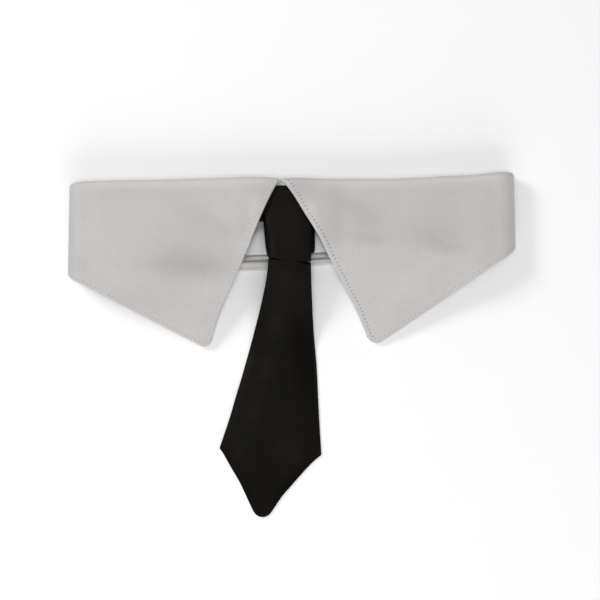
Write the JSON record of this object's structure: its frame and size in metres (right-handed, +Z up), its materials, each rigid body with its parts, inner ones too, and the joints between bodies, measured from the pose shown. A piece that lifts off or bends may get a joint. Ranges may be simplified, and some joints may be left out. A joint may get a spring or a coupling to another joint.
{
  "type": "collar with tie",
  "caption": "Detached shirt collar laid flat, its pointed wings spread over a made-up satin tie whose flared blade lies straight down from the knot",
  "frame": {"origin": "centre of the collar and tie's outline on the surface they lie on", "axes": "+X to the right of the collar's front, +Y from the blade's tip to the collar's roll, +Z up from the surface"},
  "size_m": [0.2015, 0.1559, 0.0205],
  "materials": {
    "collar_cotton": "fused white cotton, plain weave, matt",
    "tie_satin": "black satin, soft sheen",
    "button": "polished"
  },
  "bodies": {
    "root": {"collar_leaf": "collar_cotton", "collar_stand": "collar_cotton", "stand_button": "button", "tie_strap": "tie_satin", "knot_back": "tie_satin", "knot_wrap": "tie_satin", "tie_blade": "tie_satin"}
  },
  "joints": []
}
